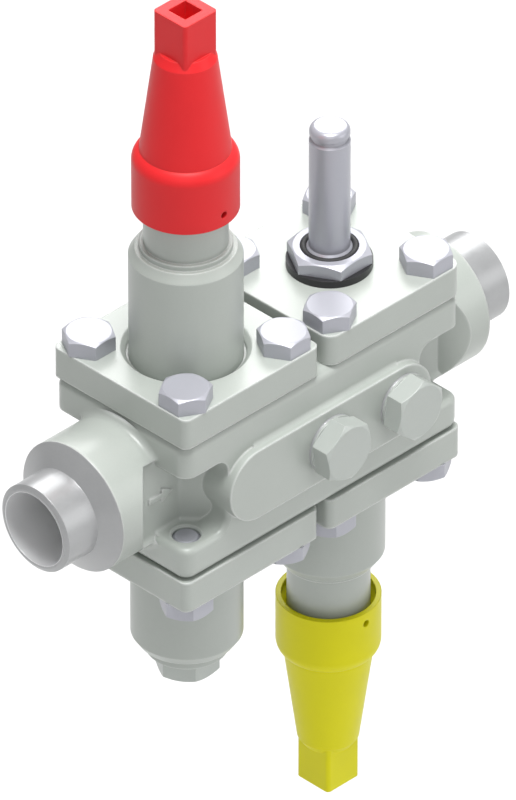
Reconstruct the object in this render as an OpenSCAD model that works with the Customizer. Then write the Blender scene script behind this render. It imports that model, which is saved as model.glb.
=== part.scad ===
// Refrigeration valve station: one housing with four bolted modules, welded into a pipe.
// The origin is the centre of the inlet's weld end, +X runs with the flow, +Z is up.

/* [Station] */
// Length between the two weld ends
station_length = 221.2; // [215:0.1:240]
// Distance between the two columns of modules
module_pitch = 71.2; // [69:0.1:76]

/* [Housing] */
// Length of the two flange plates of the housing
plate_length = 137.2; // [134:0.1:142]
// Depth of the two flange plates, front to back
plate_depth = 66; // [62:0.1:70]
// Height of the housing over both plates
housing_height = 57.7; // [54:0.1:60]
// Thickness of each flange plate
plate_thick = 13.35; // [11:0.05:14]
// Corner radius of the flange plates
plate_corner = 5; // [4.5:0.1:8]
// Rounding of the plates' outer edges
plate_round = 4; // [1:0.1:4.4]
// Width across the necks between the plates
neck_width = 33; // [30:0.1:36]
// Sum of X and Y on the slanted walls between the plates, from the housing centre
slant_reach = 72; // [71:0.1:74]
// Radius of the hollow corner where a slanted wall meets a neck
slant_fillet = 2.3; // [1:0.1:4]
// Diameter of the round hubs at both ends
hub_d = 50; // [46:0.1:52]
// Length of each weld neck beyond its hub
hub_to_end = 19.2; // [17:0.1:22]
// Rounding where a hub meets the plates
hub_fillet = 2.5; // [0.5:0.1:3]
// Height of the hollow cut into each hub beside the neck
hub_pocket_height = 37; // [33:0.1:40]
// Distance from the housing centre to the slanted hub wall, where it meets the middle plane
hub_slant = 56.9; // [54:0.1:60]
// Rounding at the foot of the walls between the plates
wall_fillet = 1.8; // [0.5:0.1:2.2]
// Rounding of the lower plate's upper edge
inner_round = 2; // [0.5:0.1:3]

/* [Ports] */
// Radius of the ends of the raised boss round the side ports
boss_r = 14.3; // [12.5:0.1:15]
// Height of the boss above the plates' front
boss_rise = 3.5; // [2:0.1:6]
// Rounding along the foot of the boss
boss_fillet = 1.6; // [0.5:0.1:2]
// Radius of the hollows between the ends of the boss and the plates
boss_hollow = 6; // [4:0.1:7]
// Diameter of the plugs' thread
plug_thread_d = 16.5; // [13:0.1:18]
// Length of the plugs' thread
plug_thread_length = 11; // [8:0.1:13]
// Width across the flats of the plugs
plug_af = 20.8; // [18:0.1:21.5]
// Height of the plugs' hexagon
plug_hex_height = 7.8; // [4:0.1:9]
// Diameter of the round collar on the side plugs
plug_collar_d = 22; // [20:0.1:26]
// Height of that collar
plug_collar_height = 0.8; // [0.5:0.1:3]
// Thickness of the plugs' sealing washers
plug_washer = 0.8; // [0.5:0.1:2]
// Diameter of the small drilling behind each port
port_drill_d = 7; // [5:0.1:8]

/* [Weld ends] */
// Outside diameter of the connected pipe
pipe_d = 33.7; // [32:0.1:36]
// Wall of the connected pipe
pipe_wall = 2.6; // [2:0.1:3.6]
// Length of the straight pipe end
pipe_stub = 14.6; // [12:0.1:16]
// Angle of the bevel for welding
bevel_angle = 30; // [20:1:40]
// Flat that the bevel leaves at the pipe's end
bevel_land = 1; // [0.5:0.1:1.6]
// Length of the locating rim inside the hub
weld_rim = 3; // [2:0.1:5]

/* [Flow passages] */
// Diameter of the four module chambers
chamber_d = 44; // [42:0.1:45]
// Thickness of the wall between an upper and a lower chamber
web_thick = 24; // [23:0.1:25]
// Diameter of the seat openings
seat_d = 20; // [16:0.1:20]
// Diameter of the slanted passages from and to the pipe bores
slant_passage_d = 18; // [14:0.1:18]
// Diameter of the passage between the two columns
cross_passage_d = 16; // [12:0.1:18]

/* [Flanges and bolts] */
// Width of the square module flanges
flange_width = 66.5; // [64:0.1:68]
// Thickness of the module flanges
flange_thick = 12.3; // [10:0.1:15]
// Corner radius of the stop, filter and regulating flanges
flange_corner = 3; // [1:0.1:6]
// Corner radius of the solenoid flange
solenoid_corner = 5; // [1:0.1:6]
// Distance of each bolt from the module's axis, along X and along Y
bolt_offset = 24.1; // [23.5:0.1:24.5]
// Diameter of the flange bolts
bolt_d = 10; // [8:0.1:10]
// Length of the bolts under the head
bolt_length = 25; // [22:0.1:25.5]
// Width across the flats of the bolt heads
bolt_af = 17; // [15:0.1:17]
// Height of the bolt heads
bolt_head = 6.4; // [5:0.1:8]
// Diameter of the flat on top of the bolt heads
bolt_top_d = 16.1; // [14:0.1:16.2]

/* [Bonnets] */
// Diameter of the stop and regulating bonnets
bonnet_d = 40.5; // [38:0.1:42]
// Distance from the pipe axis to the end of the bonnet's barrel
bonnet_end = 84.1; // [80:0.1:90]
// Diameter of the filter cup
cup_d = 40.2; // [38:0.1:42]
// Distance from the pipe axis to the end of the cup's barrel
cup_end = 84; // [80:0.1:90]
// Diameter of the cup's drain boss
drain_boss_d = 30; // [26:0.1:32]
// Height of the cup's drain boss
drain_boss_height = 4.7; // [3:0.1:8]
// Diameter of the thin collar that each flange holds down
collar_d = 51.8; // [50:0.1:53]
// Thickness of that collar
collar_thick = 4; // [3:0.1:6]
// Thickness of the round flange gaskets
gasket_thick = 2; // [1.5:0.1:3]
// Diameter of the threaded neck inside the caps
neck_d = 30; // [28:0.1:31]
// Distance from the pipe axis to the end of that neck
neck_end = 118; // [116:0.1:119]

/* [Caps] */
// Distance from the pipe axis to the cap's rim
cap_rim = 101.4; // [99:0.1:103]
// Diameter of the cap's band
cap_d = 38; // [36.5:0.1:40]
// Height of the cap's band
cap_band = 19.35; // [17:0.1:21]
// Diameter where the long cone starts
cap_cone_d = 32.4; // [31:0.1:34]
// Diameter at the end of the cone
cap_tip_d = 22.5; // [21:0.1:24]
// Height of the cone's end above the rim
cap_cone_end = 63.3; // [60:0.1:66]
// Whole height of the cap
cap_height = 81.45; // [78:0.1:84]
// Width of the cap's square end
cap_square = 16; // [15:0.1:17]
// Width of the square socket in the cap's end
socket_width = 8.4; // [8.2:0.1:9]
// Depth of that socket
socket_depth = 8; // [6:0.1:9]
// Diameter of the vent hole in the band
vent_d = 2.8; // [2:0.1:4]
// Height of the vent hole above the rim
vent_height = 4.6; // [4:0.1:8]

/* [Valve inserts] */
// Lift of the stop and regulating cones
valve_lift = 8; // [6:0.1:9]
// Outside diameter of the valve cones
cone_d = 26; // [25:0.1:27]
// Diameter of the valve spindles
spindle_d = 14; // [12:0.1:14]
// Width of the square end of the spindles
spindle_square = 8; // [7:0.1:8]
// Width across the flats of the gland nuts
gland_af = 22; // [21:0.1:22.4]

/* [Solenoid] */
// Diameter of the armature tube
tube_d = 14.8; // [13.6:0.1:15]
// Distance from the pipe axis to the top of the armature tube
tube_end = 100.4; // [96:0.1:106]
// Width across the flats of the tube nut
tube_nut_af = 27; // [25:0.1:28]
// Diameter of the washer under the tube nut
tube_washer_d = 31; // [29:0.1:33]
// Diameter of the servo piston
piston_d = 32; // [30:0.1:32.4]
// Lift of the servo piston
piston_lift = 4; // [3:0.1:5]
// Lift of the armature
armature_lift = 5; // [4:0.1:6]

/* [Hidden] */
$fn = 96;
clip = 0.01; // how far a cut runs past the face that it opens
seam = 0.02; // how far a hollow curve sinks into the face that it runs out on
tip = 0.3; // how far a rounding stops short of the feather edge that it would end in
fit = 0.05; // radial running clearance
gap = 0.1; // clearance between flat faces of different pieces
half = station_length / 2;
column = module_pitch / 2;
seat_face = housing_height / 2;
flange_face = seat_face + flange_thick;
web = web_thick / 2;
plate_inner = seat_face - plate_thick;
plate_front = plate_depth / 2;
hub_face = half - hub_to_end;
hub_r = hub_d / 2;
plate_end = plate_length / 2;
chamber_r = chamber_d / 2;
seat_r = seat_d / 2;
pipe_r = pipe_d / 2;
bore_r = pipe_r - pipe_wall;
hub_bore_r = bore_r + 0.5;
thread_r = plug_thread_d / 2;
boss_face = plate_front + boss_rise;
collar_r = collar_d / 2;
washer_wall = 2.75;
seat_ring_r = seat_r + 5;
seat_sleeve_r = seat_r + 2;
seat_ring_thick = 3;
seat_sleeve_end = web - 7;
seat_lip = 1;
lip_top = web + seat_lip;
spindle_r = spindle_d / 2;
neck_r = neck_d / 2;
nut_shank_r = 12;
tube_r = tube_d / 2;
tube_wall = 1.2;
armature_r = tube_r - tube_wall - fit;
cylinder_r = piston_d / 2 + fit;
cylinder_floor = web + 6;
foot_thick = 2.5;
foot_r = 11.5;
spigot_r = chamber_r - 0.2;
upper_turn = [[30, 0], [0, 30]];
lower_turn = [[0, 30], [30, 0]];

casting = [0.76, 0.80, 0.77];
steel = [0.86, 0.87, 0.87];
zinc = [0.80, 0.81, 0.86];
dark = [0.20, 0.20, 0.22];
brass = [0.80, 0.68, 0.38];
white_seal = [0.92, 0.92, 0.88];
red = [0.90, 0.20, 0.20];
yellow = [0.88, 0.86, 0.05];

// Moves a piece from the housing centre's frame to the inlet's
module from_inlet() {
    translate([half, 0, 0]) children();
}

// Stands a piece on a module's axis; side is -1 for the inlet column, up is -1 for a lower module
module at_module(side, up) {
    translate([half + side * column, 0, 0]) mirror([0, 0, up < 0 ? 1 : 0]) children();
}

// A ring, or a disc when the inner radius is zero, between two heights
module ring(outer, inner, low, high) {
    difference() {
        translate([0, 0, low]) cylinder(r = outer, h = high - low);
        if (inner > 0) bore(inner, low, high);
    }
}

// The cutter for a round hole between two heights
module bore(r, low, high) {
    translate([0, 0, low - clip]) cylinder(r = r, h = high - low + 2 * clip);
}

// The quarter square left over beside a quarter circle, with its corner at the origin
module fillet_section(r) {
    difference() {
        translate([-clip, -clip]) square(r + clip);
        translate([r, r]) circle(r = r);
    }
}

// A rectangle with true round corners
module rounded_rectangle(x, y, r) {
    square([x - 2 * r, y], center = true);
    square([x, y - 2 * r], center = true);
    for (sx = [-1, 1], sy = [-1, 1])
        translate([sx * (x / 2 - r), sy * (y / 2 - r)]) circle(r = r);
}

// The section of a plate's edge: width w from the left, with its outer corners rounded,
// the upper one by r and the lower one by low
module edge_section(w, h, r, low) {
    translate([0, low]) square([w, h - r - low]);
    square([w - r, h]);
    translate([w - r, h - r]) circle(r = r);
    if (low > 0) {
        square([w - low, 2 * low]);
        translate([w - low, low]) circle(r = low);
    }
}

// A plate with round corners and rounded edges
module rounded_plate(x, y, h, corner, edge, low) {
    for (sx = [-1, 1], sy = [-1, 1])
        translate([sx * (x / 2 - corner), sy * (y / 2 - corner), 0])
            rotate_extrude() intersection() {
                edge_section(corner, h, edge, low);
                square([corner, h]);
            }
    plate_bar(x, y - 2 * corner, h, edge, low);
    rotate([0, 0, 90]) plate_bar(y, x - 2 * corner, h, edge, low);
}

// A bar along Y with rounded edges
module plate_bar(x, y, h, edge, low) {
    translate([0, y / 2, 0]) rotate([90, 0, 0]) linear_extrude(y) {
        edge_section(x / 2, h, edge, low);
        mirror([1, 0]) edge_section(x / 2, h, edge, low);
    }
}

// A hexagon head from z = 0 upwards, with its upper corners turned off to a round flat
module hex_head(af, h, flat_d, turn) {
    corner_r = af / 2 / cos(30);
    drop = (corner_r - flat_d / 2) * tan(30);
    rotate([0, 0, turn]) intersection() {
        cylinder(r = corner_r, h = h, $fn = 6);
        union() {
            cylinder(r = corner_r + 1, h = h - drop);
            translate([0, 0, h - drop])
                cylinder(r1 = corner_r, r2 = flat_d / 2, h = drop);
        }
    }
}

// A ring with a round section
module o_ring(mean_r, section_r) {
    rotate_extrude() translate([mean_r, 0]) circle(r = section_r, $fn = 32);
}

// Points of a coil spring's wire: a ring of sides points at each step round the helix
function coil_point(mean_r, wire_r, rise, turns, step, steps, side, sides) =
    let (a = 360 * turns * step / steps, b = 360 * side / sides, r = mean_r + wire_r * cos(b))
    [r * cos(a), r * sin(a), wire_r + rise * step / steps + wire_r * sin(b)];

// A coil spring that stands between z = 0 and z = length
module coil_spring(mean_r, wire_r, length, turns) {
    sides = 6;
    steps = 16 * turns;
    last = steps * sides;
    points = [for (i = [0:steps], k = [0:sides - 1])
        coil_point(mean_r, wire_r, length - 2 * wire_r, turns, i, steps, k, sides)];
    walls = [for (i = [0:steps - 1], k = [0:sides - 1])
        let (n = (k + 1) % sides)
        [i * sides + k, (i + 1) * sides + k, (i + 1) * sides + n, i * sides + n]];
    ends = [[for (k = [0:sides - 1]) k], [for (k = [sides - 1:-1:0]) last + k]];
    polyhedron(points = points, faces = concat(walls, ends));
}

// Housing

// Outline of the housing between its plates: the two necks and the wide middle
module middle_outline() {
    neck = neck_width / 2;
    wide = slant_reach - plate_front;
    foot = slant_reach - neck;
    reach = hub_slant + neck;
    polygon([
        [-reach, -neck], [-foot, -neck], [-wide, -plate_front], [wide, -plate_front],
        [foot, -neck], [reach, -neck], [reach, neck], [foot, neck],
        [wide, plate_front], [-wide, plate_front], [-foot, neck], [-reach, neck]
    ]);
    for (sx = [0, 1], sy = [0, 1])
        mirror([sx, 0]) mirror([0, sy]) slant_corner(foot, neck);
}

// Fills the hollow corner of a slanted wall to a round one
module slant_corner(foot, neck) {
    leg = slant_fillet * tan(22.5);
    difference() {
        polygon([
            [foot + leg, neck], [foot - leg * cos(45), neck + leg * sin(45)],
            [foot - 2 * leg, neck - leg]
        ]);
        translate([foot + leg, neck + slant_fillet]) circle(r = slant_fillet);
    }
}

// The hollow between the plates beside a neck, as far as it cuts into the hub
module hub_pocket() {
    neck = neck_width / 2;
    deep = hub_r + hub_fillet + 1;
    start = plate_end - plate_round - 2;
    r = 4;
    for (sy = [0, 1]) mirror([0, sy, 0])
        intersection() {
            translate([0, 0, -hub_pocket_height / 2])
                linear_extrude(hub_pocket_height)
                    polygon([
                        [start, neck], [hub_slant + neck, neck],
                        [hub_slant + deep, deep], [start, deep]
                    ]);
            translate([half, 0, 0]) rotate([0, -90, 0]) linear_extrude(half)
                translate([0, plate_end]) rounded_rectangle(
                    hub_pocket_height, 2 * (plate_end - neck), r);
        }
}

// A hub with the rounding at its foot
module hub() {
    rotate([0, 90, 0]) {
        translate([0, 0, plate_end - plate_round - 1])
            cylinder(r = hub_r, h = hub_face - plate_end + plate_round + 1);
        translate([0, 0, plate_end]) rotate_extrude()
            translate([hub_r, 0]) fillet_section(hub_fillet);
    }
}

// The raised boss round the side ports, with round ends
module side_boss() {
    deep = boss_face - neck_width / 2;
    translate([0, -boss_face, 0]) rotate([-90, 0, 0]) linear_extrude(deep) {
        square([module_pitch, 2 * boss_r], center = true);
        for (s = [-1, 1]) translate([s * column, 0]) circle(r = boss_r);
    }
}

// The rounding at the foot of the boss, along its long sides
module boss_foot() {
    for (s = [0, 1]) mirror([0, 0, s])
        translate([-column, seam - plate_front, boss_r - seam]) rotate([90, 0, 90])
            linear_extrude(module_pitch) mirror([1, 0]) fillet_section(boss_fillet);
}

// The hollow curve from a round end of the boss down to a plate; low is the depth to which it
// fills the rounding of the plate's edge, and it carries that rounding on along the curve
module boss_corner(low) {
    high = plate_inner - boss_hollow + seam;
    reach = boss_r + boss_hollow - seam;
    across = sqrt(reach * reach - high * high);
    touch = boss_r / reach;
    deep = plate_front - neck_width / 2;
    translate([column, -plate_front, 0]) rotate([-90, 0, 0]) difference() {
        linear_extrude(deep) difference() {
            polygon([
                [0, 0], [0, plate_inner + low + clip], [across, plate_inner + low + clip],
                [across, plate_inner], [across * touch, high * touch]
            ]);
            translate([across, high]) circle(r = boss_hollow);
        }
        if (low > 0) translate([across, high, 0]) rotate_extrude()
            translate([boss_hollow - seam / 2, 0]) intersection() {
                fillet_section(low);
                translate([-low, -low]) square([2 * low - tip, 3 * low]);
            }
    }
}

// A straight fillet along +X in the corner between a wall, at y = 0, and a floor, at z = 0
module straight_fillet(length, r) {
    rotate([90, 0, 90]) linear_extrude(length) fillet_section(r);
}

// The rounding at the foot of one neck wall and of one slanted wall
module wall_foot() {
    neck = neck_width / 2;
    foot = slant_reach - neck;
    wide = slant_reach - plate_front;
    translate([foot, neck, -plate_inner]) {
        straight_fillet(plate_end - foot - 1, wall_fillet);
        rotate([0, 0, 135]) mirror([0, 1, 0])
            straight_fillet((foot - wide) * sqrt(2) - 2 * wall_fillet, wall_fillet);
    }
}

// The slanted passage that leads from the inlet bore up into the stop chamber
module slant_passage() {
    start = [-column - chamber_r - 14.4, 0, 4];
    rise = 20.5;
    translate(start) rotate([0, 45, 0]) cylinder(d = slant_passage_d, h = rise);
}

// The passage from the filter chamber up to the solenoid chamber
module cross_passage() {
    reach = column - chamber_r + 6.4;
    height = web + 6;
    rotate([0, atan2(reach, height), 0])
        cylinder(d = cross_passage_d, h = 2 * norm([reach, height]), center = true);
}

// A side port: the tapped hole and the drilling that reaches the passage behind it
module side_port(x, reach) {
    translate([x, -boss_face - clip, 0]) rotate([-90, 0, 0]) {
        cylinder(r = thread_r + fit, h = plug_thread_length + 3);
        cylinder(d = port_drill_d, h = boss_face - reach);
        cylinder(r1 = thread_r + 0.8, r2 = thread_r, h = 0.8);
    }
}

// The chamber of one module with its gasket step and tapped holes
module module_cuts() {
    bore(chamber_r, web, seat_face);
    ring(collar_r + gap, 0, seat_face - gasket_thick, seat_face + clip);
    for (sx = [-1, 1], sy = [-1, 1]) translate([sx * bolt_offset, sy * bolt_offset, 0]) {
        bore(bolt_d / 2 + fit, plate_inner - 1.5, seat_face);
        translate([0, 0, plate_inner - clip])
            cylinder(r1 = bolt_d / 2 + 0.6, r2 = bolt_d / 2, h = 0.6);
    }
}

// The step and opening that hold a seat ring
module seat_pocket() {
    bore(seat_ring_r + gap, web - seat_ring_thick, web);
    bore(seat_sleeve_r + fit, seat_sleeve_end, web);
}

// A plain raised arrow on the neck, pointing with the flow
module flow_arrow() {
    shaft = 1.1;
    head = 3;
    rise = 0.7;
    translate([-plate_end - 2.4, -neck_width / 2 + clip, 0]) rotate([90, 0, 0])
        linear_extrude(rise) polygon([
            [0, -shaft], [6.4, -shaft], [6.4, -head], [11.6, 0],
            [6.4, head], [6.4, shaft], [0, shaft]
        ]);
}

module housing() {
    color(casting) from_inlet() difference() {
        union() {
            for (s = [0, 1]) mirror([0, 0, s]) translate([0, 0, plate_inner])
                rounded_plate(plate_length, plate_depth, plate_thick, plate_corner, plate_round,
                    s * inner_round);
            translate([0, 0, -plate_inner - inner_round])
                linear_extrude(2 * plate_inner + inner_round) middle_outline();
            for (sx = [0, 1], sy = [0, 1], sz = [0, 1])
                mirror([sx, 0, 0]) mirror([0, sy, 0]) mirror([0, 0, sz]) wall_foot();
            for (s = [0, 1]) mirror([s, 0, 0]) {
                boss_corner(inner_round);
                mirror([0, 0, 1]) boss_corner(0);
            }
            for (s = [0, 1]) mirror([s, 0, 0]) difference() {
                hub();
                hub_pocket();
            }
            side_boss();
            boss_foot();
            flow_arrow();
        }
        for (s = [0, 1]) mirror([s, 0, 0]) {
            translate([hub_face, 0, 0]) rotate([0, -90, 0]) {
                bore(hub_bore_r, 0, hub_face - plate_end + 2.6);
                bore(bore_r + 2, 0, weld_rim + gap);
            }
            translate([column, 0, 0]) {
                module_cuts();
                mirror([0, 0, 1]) module_cuts();
            }
        }
        for (s = [-1, 1]) translate([s * column, 0, 0]) bore(seat_r, -web, web);
        translate([-column, 0, 0]) seat_pocket();
        translate([column, 0, 0]) {
            seat_pocket();
            mirror([0, 0, 1]) seat_pocket();
        }
        slant_passage();
        rotate([0, 180, 0]) slant_passage();
        cross_passage();
        side_port(0, 0);
        side_port(column, 0);
    }
}

// One weld neck from the hub's face outwards, along +Z
module weld_neck_form() {
    shoulder = hub_to_end - pipe_stub;
    bevel = (pipe_wall - bevel_land) * tan(bevel_angle);
    rotate_extrude() polygon([
        [bore_r, -weld_rim], [bore_r + 2 - fit, -weld_rim], [bore_r + 2 - fit, 0], [hub_r, 0],
        [pipe_r, shoulder], [pipe_r, hub_to_end - bevel],
        [bore_r + bevel_land, hub_to_end], [bore_r, hub_to_end]
    ]);
}

module inlet_weld_neck() {
    color(steel) translate([hub_to_end, 0, 0]) rotate([0, -90, 0]) weld_neck_form();
}

module outlet_weld_neck() {
    color(steel) translate([station_length - hub_to_end, 0, 0]) rotate([0, 90, 0]) weld_neck_form();
}

// Flanges, bolts and gaskets

// The four holes for the flange bolts
module bolt_holes(low, high) {
    for (sx = [-1, 1], sy = [-1, 1])
        translate([sx * bolt_offset, sy * bolt_offset, 0]) bore(bolt_d / 2 + 0.5, low, high);
}

// A square flange that holds a collar down, with a turned groove round the barrel
module clamp_flange(barrel_d) {
    groove = 2;
    difference() {
        translate([0, 0, seat_face]) linear_extrude(flange_thick)
            rounded_rectangle(flange_width, flange_width, flange_corner);
        bore(barrel_d / 2 + fit, seat_face, flange_face);
        bore(collar_r + gap, seat_face, seat_face + collar_thick);
        bore(barrel_d / 2 + 1, flange_face - groove - 1, flange_face);
        translate([0, 0, flange_face - groove])
            cylinder(r1 = barrel_d / 2 + 1, r2 = barrel_d / 2 + 1 + groove + clip, h = groove + clip);
        bolt_holes(seat_face, flange_face);
    }
}

// One hexagon bolt with its head on the flange
module flange_bolt(turn) {
    translate([0, 0, flange_face]) hex_head(bolt_af, bolt_head, bolt_top_d, turn);
    translate([0, 0, flange_face - bolt_length + 1]) cylinder(d = bolt_d, h = bolt_length - 1 + clip);
    translate([0, 0, flange_face - bolt_length])
        cylinder(d1 = bolt_d - 2, d2 = bolt_d, h = 1);
}

// The four bolts of one module; each pair across the flange is turned alike
module bolt_set(turned) {
    for (sx = [0, 1], sy = [0, 1])
        translate([(2 * sx - 1) * bolt_offset, (2 * sy - 1) * bolt_offset, 0])
            flange_bolt(turned[sx][sy]);
}

// The flat ring between a collar and the housing
module flange_gasket() {
    ring(collar_r, chamber_r + gap, seat_face - gasket_thick, seat_face);
}

module stop_flange() { color(casting) at_module(-1, 1) clamp_flange(bonnet_d); }
module filter_flange() { color(casting) at_module(-1, -1) clamp_flange(cup_d); }
module regulator_flange() { color(casting) at_module(1, -1) clamp_flange(bonnet_d); }
module stop_bolts() { color(zinc) at_module(-1, 1) bolt_set(upper_turn); }
module filter_bolts() { color(zinc) at_module(-1, -1) bolt_set(lower_turn); }
module solenoid_bolts() { color(zinc) at_module(1, 1) bolt_set(upper_turn); }
module regulator_bolts() { color(zinc) at_module(1, -1) bolt_set(lower_turn); }
module stop_gasket() { color(dark) at_module(-1, 1) flange_gasket(); }
module filter_gasket() { color(dark) at_module(-1, -1) flange_gasket(); }
module solenoid_gasket() { color(dark) at_module(1, 1) flange_gasket(); }
module regulator_gasket() { color(dark) at_module(1, -1) flange_gasket(); }

// Stop and regulating inserts, drawn for an upper module

// Heights that the bonnet, spindle and packing share
cone_body = 8;
cone_socket_rise = 5;
cone_spare = 3;
packing_depth = 18;
gland_depth = 8;
gland_height = 8;
packing_wall = 3;
clip_depth = 3;
spindle_free = 24;
cone_rest = lip_top + valve_lift + gap;
cone_top = cone_rest + cone_body + cone_socket_rise;
cone_room = cone_top + cone_spare;
packing_low = neck_end - packing_depth;
packing_high = neck_end - gland_depth;
packing_r = spindle_r + packing_wall;
gland_top = neck_end + gland_height;
socket_floor = cone_rest + cone_spare;
clip_low = cone_top - clip_depth;
spindle_top = gland_top + spindle_free;

module bonnet_form() {
    chamfer = 3.3;
    step_height = 2.1;
    difference() {
        union() {
            ring(collar_r, 0, seat_face, seat_face + collar_thick);
            ring(spigot_r, 0, seat_face - 5, seat_face + clip);
            ring(bonnet_d / 2, 0, seat_face, bonnet_end - chamfer);
            translate([0, 0, bonnet_end - chamfer])
                cylinder(r1 = bonnet_d / 2, r2 = neck_r + 3, h = chamfer);
            ring(neck_r + 1.5, 0, bonnet_end - clip, bonnet_end + step_height);
            ring(neck_r, 0, bonnet_end, neck_end - 1);
            translate([0, 0, neck_end - 1]) cylinder(r1 = neck_r, r2 = neck_r - 1, h = 1);
        }
        bore(cone_d / 2 + 1.5, seat_face - 5, cone_room);
        translate([0, 0, cone_room]) cylinder(r1 = cone_d / 2 + 1.5, r2 = spindle_r + fit, h = 5);
        bore(spindle_r + fit, seat_face, neck_end);
        bore(packing_r, packing_low, neck_end);
    }
}

// A seat ring with a raised sealing lip
module seat_form() {
    lip_r = seat_r + 1;
    difference() {
        union() {
            ring(seat_ring_r, 0, web - seat_ring_thick, web);
            ring(seat_sleeve_r, 0, seat_sleeve_end, web);
            translate([0, 0, web - clip]) cylinder(r1 = lip_r + 1.6, r2 = lip_r, h = seat_lip + clip);
        }
        bore(seat_r, seat_sleeve_end, lip_top);
    }
}

// The cone: a disc with a socket for the spindle and a nose that holds its seal.
// nose_length is short on the stop valve and long and tapered on the regulating valve.
module cone_form(nose_length) {
    socket_r = spindle_r + 2.6;
    nose_r = seat_r - 1.5;
    difference() {
        union() {
            ring(cone_d / 2, 0, cone_rest + 2, cone_rest + cone_body);
            ring(socket_r, 0, cone_rest + cone_body - clip, cone_top);
            ring(nose_r, 0, cone_rest, cone_rest + 2 + clip);
            translate([0, 0, cone_rest - nose_length])
                cylinder(r1 = max(nose_r - nose_length / 2, 2), r2 = nose_r, h = nose_length + clip);
        }
        bore(spindle_r + fit, socket_floor, cone_top);
        ring(spindle_r + 1.2, 0, clip_low, clip_low + 1.4);
    }
}

module cone_seal_form() {
    ring(cone_d / 2 - 0.3, seat_r - 1.5 + gap / 2, cone_rest, cone_rest + 2);
}

// The wire ring that keeps the spindle in the cone
module cone_clip_form() {
    ring(spindle_r + 1.1, spindle_r - 0.8, clip_low + gap, clip_low + 1.4 - gap);
}

module spindle_form() {
    square_length = 12;
    difference() {
        union() {
            ring(spindle_r, 0, socket_floor + gap, spindle_top - square_length - 2);
            translate([0, 0, spindle_top - square_length - 2])
                cylinder(r1 = spindle_r, r2 = spindle_square / 2, h = 2);
            intersection() {
                translate([-spindle_square / 2, -spindle_square / 2, spindle_top - square_length - 2])
                    cube([spindle_square, spindle_square, square_length + 2]);
                ring(spindle_square / 2 + 0.8, 0, spindle_top - square_length - 3, spindle_top);
            }
        }
        ring(spindle_r + 1, spindle_r - 0.9, clip_low, clip_low + 1.4);
    }
}

module packing_form() {
    ring(packing_r - fit / 2, spindle_r + fit, packing_low, packing_high);
}

module gland_form() {
    difference() {
        union() {
            ring(packing_r - fit, 0, packing_high, neck_end + clip);
            translate([0, 0, neck_end]) hex_head(gland_af, gland_top - neck_end, gland_af - 1, 0);
        }
        bore(spindle_r + fit, packing_high, gland_top);
    }
}

module stop_bonnet() { color(casting) at_module(-1, 1) bonnet_form(); }
module stop_seat() { color(steel) at_module(-1, 1) seat_form(); }
module stop_cone() { color(steel) at_module(-1, 1) cone_form(2); }
module stop_cone_seal() { color(white_seal) at_module(-1, 1) cone_seal_form(); }
module stop_cone_clip() { color(steel) at_module(-1, 1) cone_clip_form(); }
module stop_spindle() { color(steel) at_module(-1, 1) spindle_form(); }
module stop_packing() { color(dark) at_module(-1, 1) packing_form(); }
module stop_gland() { color(zinc) at_module(-1, 1) gland_form(); }
module regulator_bonnet() { color(casting) at_module(1, -1) bonnet_form(); }
module regulator_seat() { color(steel) at_module(1, -1) seat_form(); }
module regulator_cone() { color(steel) at_module(1, -1) cone_form(8); }
module regulator_cone_seal() { color(white_seal) at_module(1, -1) cone_seal_form(); }
module regulator_cone_clip() { color(steel) at_module(1, -1) cone_clip_form(); }
module regulator_spindle() { color(steel) at_module(1, -1) spindle_form(); }
module regulator_packing() { color(dark) at_module(1, -1) packing_form(); }
module regulator_gland() { color(zinc) at_module(1, -1) gland_form(); }

// Caps

cap_gasket = 1.5;
cap_shoulder = neck_end + cap_gasket + 2 * gap;
cap_top = cap_rim + cap_height;
cap_cone_high = cap_rim + cap_cone_end;

// Half of the cap's outline, up to the square end
module cap_section() {
    shoulder_r = 5.5;
    band_top = cap_rim + cap_band;
    square([cap_d / 2, band_top]);
    intersection() {
        translate([cap_d / 2 - shoulder_r, band_top]) circle(r = shoulder_r);
        square([cap_d / 2, band_top + shoulder_r]);
    }
    square([cap_d / 2 - shoulder_r, band_top + shoulder_r]);
    polygon([
        [0, band_top], [cap_cone_d / 2, band_top], [cap_cone_d / 2, band_top + shoulder_r],
        [cap_tip_d / 2, cap_cone_high - 1], [cap_tip_d / 2 - 2, cap_cone_high + 2],
        [0, cap_cone_high + 2]
    ]);
}

// The space inside the cap: mouth, thread bore, gland room and the room for the spindle's end
module cap_hollow() {
    mouth = 2.6;
    gland_room = gland_top + 4;
    narrow_r = spindle_r + 1.5;
    room_r = gland_af / 2 / cos(30) + 0.6;
    rotate_extrude() polygon([
        [0, 0], [neck_r + 2, 0], [neck_r + 2, cap_rim + mouth], [neck_r + fit, cap_rim + mouth + 1.6],
        [neck_r + fit, cap_shoulder], [room_r, cap_shoulder], [room_r, gland_room - 2],
        [narrow_r, gland_room + 4], [narrow_r, spindle_top + 3], [0, spindle_top + 7]
    ]);
}

module cap_form() {
    square_low = cap_cone_high - 4;
    corner = 1.5;
    difference() {
        union() {
            difference() {
                rotate_extrude() cap_section();
                translate([0, 0, -clip]) cylinder(r = cap_d, h = cap_rim + clip);
            }
            translate([0, 0, square_low]) linear_extrude(cap_top - square_low)
                rounded_rectangle(cap_square, cap_square, corner);
        }
        cap_hollow();
        translate([0, 0, cap_top - socket_depth / 2 + clip])
            cube([socket_width, socket_width, socket_depth + 2 * clip], center = true);
        translate([0, 0, cap_rim + vent_height]) rotate([90, 0, 0]) cylinder(d = vent_d, h = cap_d);
    }
}

module cap_gasket_form() {
    low = neck_end + gap;
    ring(neck_r - fit, gland_af / 2 / cos(30) + 0.6, low, low + cap_gasket);
}

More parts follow.
